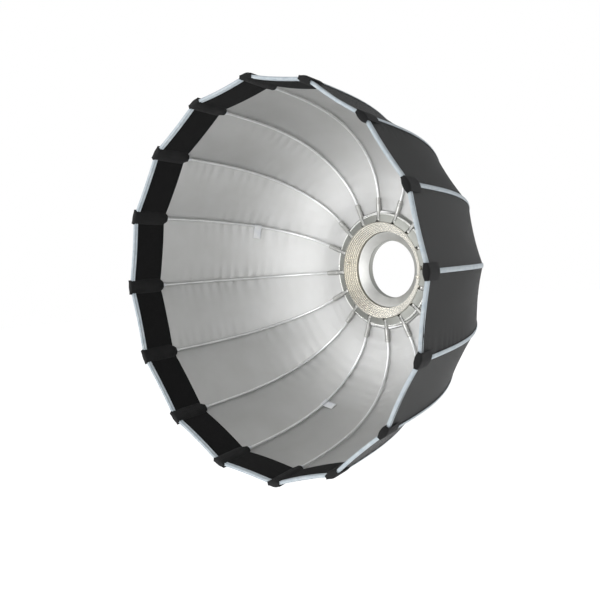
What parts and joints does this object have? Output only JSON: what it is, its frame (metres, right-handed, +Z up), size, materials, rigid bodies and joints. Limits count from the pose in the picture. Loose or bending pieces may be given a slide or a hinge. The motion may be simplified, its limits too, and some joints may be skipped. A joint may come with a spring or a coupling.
{
  "type": "parabolic softbox",
  "caption": "Deep many-sided parabolic softbox with a folding frame of spring-steel ribs hinged on a bright metal hub, black cloth outside and silver lining inside.",
  "frame": {"origin": "centre of the mount ring's rear face, where the softbox sits on a lamp", "axes": "+Y along the bowl's axis towards the lamp, so the bowl opens towards -Y; +Z up, with rib 01 at the top and the ribs numbered clockwise from the front"},
  "size_m": [0.6268, 0.3396, 0.6268],
  "materials": {
    "aluminium": "satin turned and crimped aluminium, light grey",
    "bright_nickel": "nickel-plated cast aluminium, bright and slightly warm, with fine turning marks",
    "steel": "bright drawn spring steel",
    "dark_screw": "blackened steel screw",
    "black_cloth": "coated charcoal nylon, fine plain weave, slight sheen",
    "silver_lining": "silver reflective lining cloth, satin, slightly puckered at the seams",
    "white_fabric": "white nylon tab",
    "hook_band": "black loop pile tape",
    "piping": "pale blue-grey woven edge tape"
  },
  "bodies": {
    "hub": {"mount_ring": "aluminium", "throat_funnel": "aluminium", "stepped_reflector": "bright_nickel", "hub_body": "bright_nickel", "hinge_wire": "steel", "reflector_screw_1": "steel", "reflector_screw_2": "steel", "flange_screw_1": "dark_screw", "flange_screw_2": "dark_screw", "flange_screw_3": "dark_screw"},
    "rib_01": {"lever_01": "aluminium", "rod_01": "steel"},
    "rib_02": {"lever_02": "aluminium", "rod_02": "steel"},
    "rib_03": {"lever_03": "aluminium", "rod_03": "steel"},
    "rib_04": {"lever_04": "aluminium", "rod_04": "steel"},
    "rib_05": {"lever_05": "aluminium", "rod_05": "steel"},
    "rib_06": {"lever_06": "aluminium", "rod_06": "steel"},
    "rib_07": {"lever_07": "aluminium", "rod_07": "steel"},
    "rib_08": {"lever_08": "aluminium", "rod_08": "steel"},
    "rib_09": {"lever_09": "aluminium", "rod_09": "steel"},
    "rib_10": {"lever_10": "aluminium", "rod_10": "steel"},
    "rib_11": {"lever_11": "aluminium", "rod_11": "steel"},
    "rib_12": {"lever_12": "aluminium", "rod_12": "steel"},
    "rib_13": {"lever_13": "aluminium", "rod_13": "steel"},
    "rib_14": {"lever_14": "aluminium", "rod_14": "steel"},
    "rib_15": {"lever_15": "aluminium", "rod_15": "steel"},
    "rib_16": {"lever_16": "aluminium", "rod_16": "steel"},
    "gore_body_01": {"gore_01": "black_cloth"},
    "gore_body_02": {"gore_02": "black_cloth"},
    "gore_body_03": {"gore_03": "black_cloth"},
    "gore_body_04": {"gore_04": "black_cloth"},
    "gore_body_05": {"gore_05": "black_cloth"},
    "gore_body_06": {"gore_06": "black_cloth"},
    "gore_body_07": {"gore_07": "black_cloth"},
    "gore_body_08": {"gore_08": "black_cloth"},
    "gore_body_09": {"gore_09": "black_cloth"},
    "gore_body_10": {"gore_10": "black_cloth"},
    "gore_body_11": {"gore_11": "black_cloth"},
    "gore_body_12": {"gore_12": "black_cloth"},
    "gore_body_13": {"gore_13": "black_cloth"},
    "gore_body_14": {"gore_14": "black_cloth"},
    "gore_body_15": {"gore_15": "black_cloth"},
    "gore_body_16": {"gore_16": "black_cloth"}
  },
  "joints": [
    {"name": "rib_01_fold", "type": "hinge", "parent": "hub", "child": "rib_01", "pos_m": [0, -0.035, 0.0866], "axis": [1, 0, 0], "range_deg": [0, 38]},
    {"name": "rib_02_fold", "type": "hinge", "parent": "hub", "child": "rib_02", "pos_m": [0.03314, -0.035, 0.08001], "axis": [0.9239, 0, -0.3827], "range_deg": [0, 38]},
    {"name": "rib_03_fold", "type": "hinge", "parent": "hub", "child": "rib_03", "pos_m": [0.06123, -0.035, 0.06123], "axis": [0.7071, 0, -0.7071], "range_deg": [0, 38]},
    {"name": "rib_04_fold", "type": "hinge", "parent": "hub", "child": "rib_04", "pos_m": [0.08001, -0.035, 0.03314], "axis": [0.3827, 0, -0.9239], "range_deg": [0, 38]},
    {"name": "rib_05_fold", "type": "hinge", "parent": "hub", "child": "rib_05", "pos_m": [0.0866, -0.035, 0], "axis": [0, 0, -1], "range_deg": [0, 38]},
    {"name": "rib_06_fold", "type": "hinge", "parent": "hub", "child": "rib_06", "pos_m": [0.08001, -0.035, -0.03314], "axis": [-0.3827, 0, -0.9239], "range_deg": [0, 38]},
    {"name": "rib_07_fold", "type": "hinge", "parent": "hub", "child": "rib_07", "pos_m": [0.06123, -0.035, -0.06123], "axis": [-0.7071, 0, -0.7071], "range_deg": [0, 38]},
    {"name": "rib_08_fold", "type": "hinge", "parent": "hub", "child": "rib_08", "pos_m": [0.03314, -0.035, -0.08001], "axis": [-0.9239, 0, -0.3827], "range_deg": [0, 38]},
    {"name": "rib_09_fold", "type": "hinge", "parent": "hub", "child": "rib_09", "pos_m": [0, -0.035, -0.0866], "axis": [-1, 0, 0], "range_deg": [0, 38]},
    {"name": "rib_10_fold", "type": "hinge", "parent": "hub", "child": "rib_10", "pos_m": [-0.03314, -0.035, -0.08001], "axis": [-0.9239, 0, 0.3827], "range_deg": [0, 38]},
    {"name": "rib_11_fold", "type": "hinge", "parent": "hub", "child": "rib_11", "pos_m": [-0.06123, -0.035, -0.06123], "axis": [-0.7071, 0, 0.7071], "range_deg": [0, 38]},
    {"name": "rib_12_fold", "type": "hinge", "parent": "hub", "child": "rib_12", "pos_m": [-0.08001, -0.035, -0.03314], "axis": [-0.3827, 0, 0.9239], "range_deg": [0, 38]},
    {"name": "rib_13_fold", "type": "hinge", "parent": "hub", "child": "rib_13", "pos_m": [-0.0866, -0.035, 0], "axis": [0, 0, 1], "range_deg": [0, 38]},
    {"name": "rib_14_fold", "type": "hinge", "parent": "hub", "child": "rib_14", "pos_m": [-0.08001, -0.035, 0.03314], "axis": [0.3827, 0, 0.9239], "range_deg": [0, 38]},
    {"name": "rib_15_fold", "type": "hinge", "parent": "hub", "child": "rib_15", "pos_m": [-0.06123, -0.035, 0.06123], "axis": [0.7071, 0, 0.7071], "range_deg": [0, 38]},
    {"name": "rib_16_fold", "type": "hinge", "parent": "hub", "child": "rib_16", "pos_m": [-0.03314, -0.035, 0.08001], "axis": [0.9239, 0, 0.3827], "range_deg": [0, 38]},
    {"name": "gore_01_follow", "type": "hinge", "parent": "rib_01", "child": "gore_body_01", "pos_m": [0.01723, -0.035, 0.0866], "axis": [-0.1848, -0.32, -0.9292], "range_deg": [0, 14.57], "deforming": ["gore_01"]},
    {"name": "gore_02_follow", "type": "hinge", "parent": "rib_02", "child": "gore_body_02", "pos_m": [0.04906, -0.035, 0.07342], "axis": [-0.5264, -0.32, -0.7878], "range_deg": [0, 14.57], "deforming": ["gore_02"]},
    {"name": "gore_03_follow", "type": "hinge", "parent": "rib_03", "child": "gore_body_03", "pos_m": [0.07342, -0.035, 0.04906], "axis": [-0.7878, -0.32, -0.5264], "range_deg": [0, 14.57], "deforming": ["gore_03"]},
    {"name": "gore_04_follow", "type": "hinge", "parent": "rib_04", "child": "gore_body_04", "pos_m": [0.0866, -0.035, 0.01723], "axis": [-0.9292, -0.32, -0.1848], "range_deg": [0, 14.57], "deforming": ["gore_04"]},
    {"name": "gore_05_follow", "type": "hinge", "parent": "rib_05", "child": "gore_body_05", "pos_m": [0.0866, -0.035, -0.01723], "axis": [-0.9292, -0.32, 0.1848], "range_deg": [0, 14.57], "deforming": ["gore_05"]},
    {"name": "gore_06_follow", "type": "hinge", "parent": "rib_06", "child": "gore_body_06", "pos_m": [0.07342, -0.035, -0.04906], "axis": [-0.7878, -0.32, 0.5264], "range_deg": [0, 14.57], "deforming": ["gore_06"]},
    {"name": "gore_07_follow", "type": "hinge", "parent": "rib_07", "child": "gore_body_07", "pos_m": [0.04906, -0.035, -0.07342], "axis": [-0.5264, -0.32, 0.7878], "range_deg": [0, 14.57], "deforming": ["gore_07"]},
    {"name": "gore_08_follow", "type": "hinge", "parent": "rib_08", "child": "gore_body_08", "pos_m": [0.01723, -0.035, -0.0866], "axis": [-0.1848, -0.32, 0.9292], "range_deg": [0, 14.57], "deforming": ["gore_08"]},
    {"name": "gore_09_follow", "type": "hinge", "parent": "rib_09", "child": "gore_body_09", "pos_m": [-0.01723, -0.035, -0.0866], "axis": [0.1848, -0.32, 0.9292], "range_deg": [0, 14.57], "deforming": ["gore_09"]},
    {"name": "gore_10_follow", "type": "hinge", "parent": "rib_10", "child": "gore_body_10", "pos_m": [-0.04906, -0.035, -0.07342], "axis": [0.5264, -0.32, 0.7878], "range_deg": [0, 14.57], "deforming": ["gore_10"]},
    {"name": "gore_11_follow", "type": "hinge", "parent": "rib_11", "child": "gore_body_11", "pos_m": [-0.07342, -0.035, -0.04906], "axis": [0.7878, -0.32, 0.5264], "range_deg": [0, 14.57], "deforming": ["gore_11"]},
    {"name": "gore_12_follow", "type": "hinge", "parent": "rib_12", "child": "gore_body_12", "pos_m": [-0.0866, -0.035, -0.01723], "axis": [0.9292, -0.32, 0.1848], "range_deg": [0, 14.57], "deforming": ["gore_12"]},
    {"name": "gore_13_follow", "type": "hinge", "parent": "rib_13", "child": "gore_body_13", "pos_m": [-0.0866, -0.035, 0.01723], "axis": [0.9292, -0.32, -0.1848], "range_deg": [0, 14.57], "deforming": ["gore_13"]},
    {"name": "gore_14_follow", "type": "hinge", "parent": "rib_14", "child": "gore_body_14", "pos_m": [-0.07342, -0.035, 0.04906], "axis": [0.7878, -0.32, -0.5264], "range_deg": [0, 14.57], "deforming": ["gore_14"]},
    {"name": "gore_15_follow", "type": "hinge", "parent": "rib_15", "child": "gore_body_15", "pos_m": [-0.04906, -0.035, 0.07342], "axis": [0.5264, -0.32, -0.7878], "range_deg": [0, 14.57], "deforming": ["gore_15"]},
    {"name": "gore_16_follow", "type": "hinge", "parent": "rib_16", "child": "gore_body_16", "pos_m": [-0.01723, -0.035, 0.0866], "axis": [0.1848, -0.32, -0.9292], "range_deg": [0, 14.57], "deforming": ["gore_16"]}
  ],
  "couplings": [
    {"joint": "rib_02_fold", "follows": "rib_01_fold", "ratio": 1},
    {"joint": "rib_03_fold", "follows": "rib_01_fold", "ratio": 1},
    {"joint": "rib_04_fold", "follows": "rib_01_fold", "ratio": 1},
    {"joint": "rib_05_fold", "follows": "rib_01_fold", "ratio": 1},
    {"joint": "rib_06_fold", "follows": "rib_01_fold", "ratio": 1},
    {"joint": "rib_07_fold", "follows": "rib_01_fold", "ratio": 1},
    {"joint": "rib_08_fold", "follows": "rib_01_fold", "ratio": 1},
    {"joint": "rib_09_fold", "follows": "rib_01_fold", "ratio": 1},
    {"joint": "rib_10_fold", "follows": "rib_01_fold", "ratio": 1},
    {"joint": "rib_11_fold", "follows": "rib_01_fold", "ratio": 1},
    {"joint": "rib_12_fold", "follows": "rib_01_fold", "ratio": 1},
    {"joint": "rib_13_fold", "follows": "rib_01_fold", "ratio": 1},
    {"joint": "rib_14_fold", "follows": "rib_01_fold", "ratio": 1},
    {"joint": "rib_15_fold", "follows": "rib_01_fold", "ratio": 1},
    {"joint": "rib_16_fold", "follows": "rib_01_fold", "ratio": 1},
    {"joint": "gore_01_follow", "follows": "rib_01_fold", "ratio": 0.38333},
    {"joint": "gore_02_follow", "follows": "rib_01_fold", "ratio": 0.38333},
    {"joint": "gore_03_follow", "follows": "rib_01_fold", "ratio": 0.38333},
    {"joint": "gore_04_follow", "follows": "rib_01_fold", "ratio": 0.38333},
    {"joint": "gore_05_follow", "follows": "rib_01_fold", "ratio": 0.38333},
    {"joint": "gore_06_follow", "follows": "rib_01_fold", "ratio": 0.38333},
    {"joint": "gore_07_follow", "follows": "rib_01_fold", "ratio": 0.38333},
    {"joint": "gore_08_follow", "follows": "rib_01_fold", "ratio": 0.38333},
    {"joint": "gore_09_follow", "follows": "rib_01_fold", "ratio": 0.38333},
    {"joint": "gore_10_follow", "follows": "rib_01_fold", "ratio": 0.38333},
    {"joint": "gore_11_follow", "follows": "rib_01_fold", "ratio": 0.38333},
    {"joint": "gore_12_follow", "follows": "rib_01_fold", "ratio": 0.38333},
    {"joint": "gore_13_follow", "follows": "rib_01_fold", "ratio": 0.38333},
    {"joint": "gore_14_follow", "follows": "rib_01_fold", "ratio": 0.38333},
    {"joint": "gore_15_follow", "follows": "rib_01_fold", "ratio": 0.38333},
    {"joint": "gore_16_follow", "follows": "rib_01_fold", "ratio": 0.38333}
  ]
}
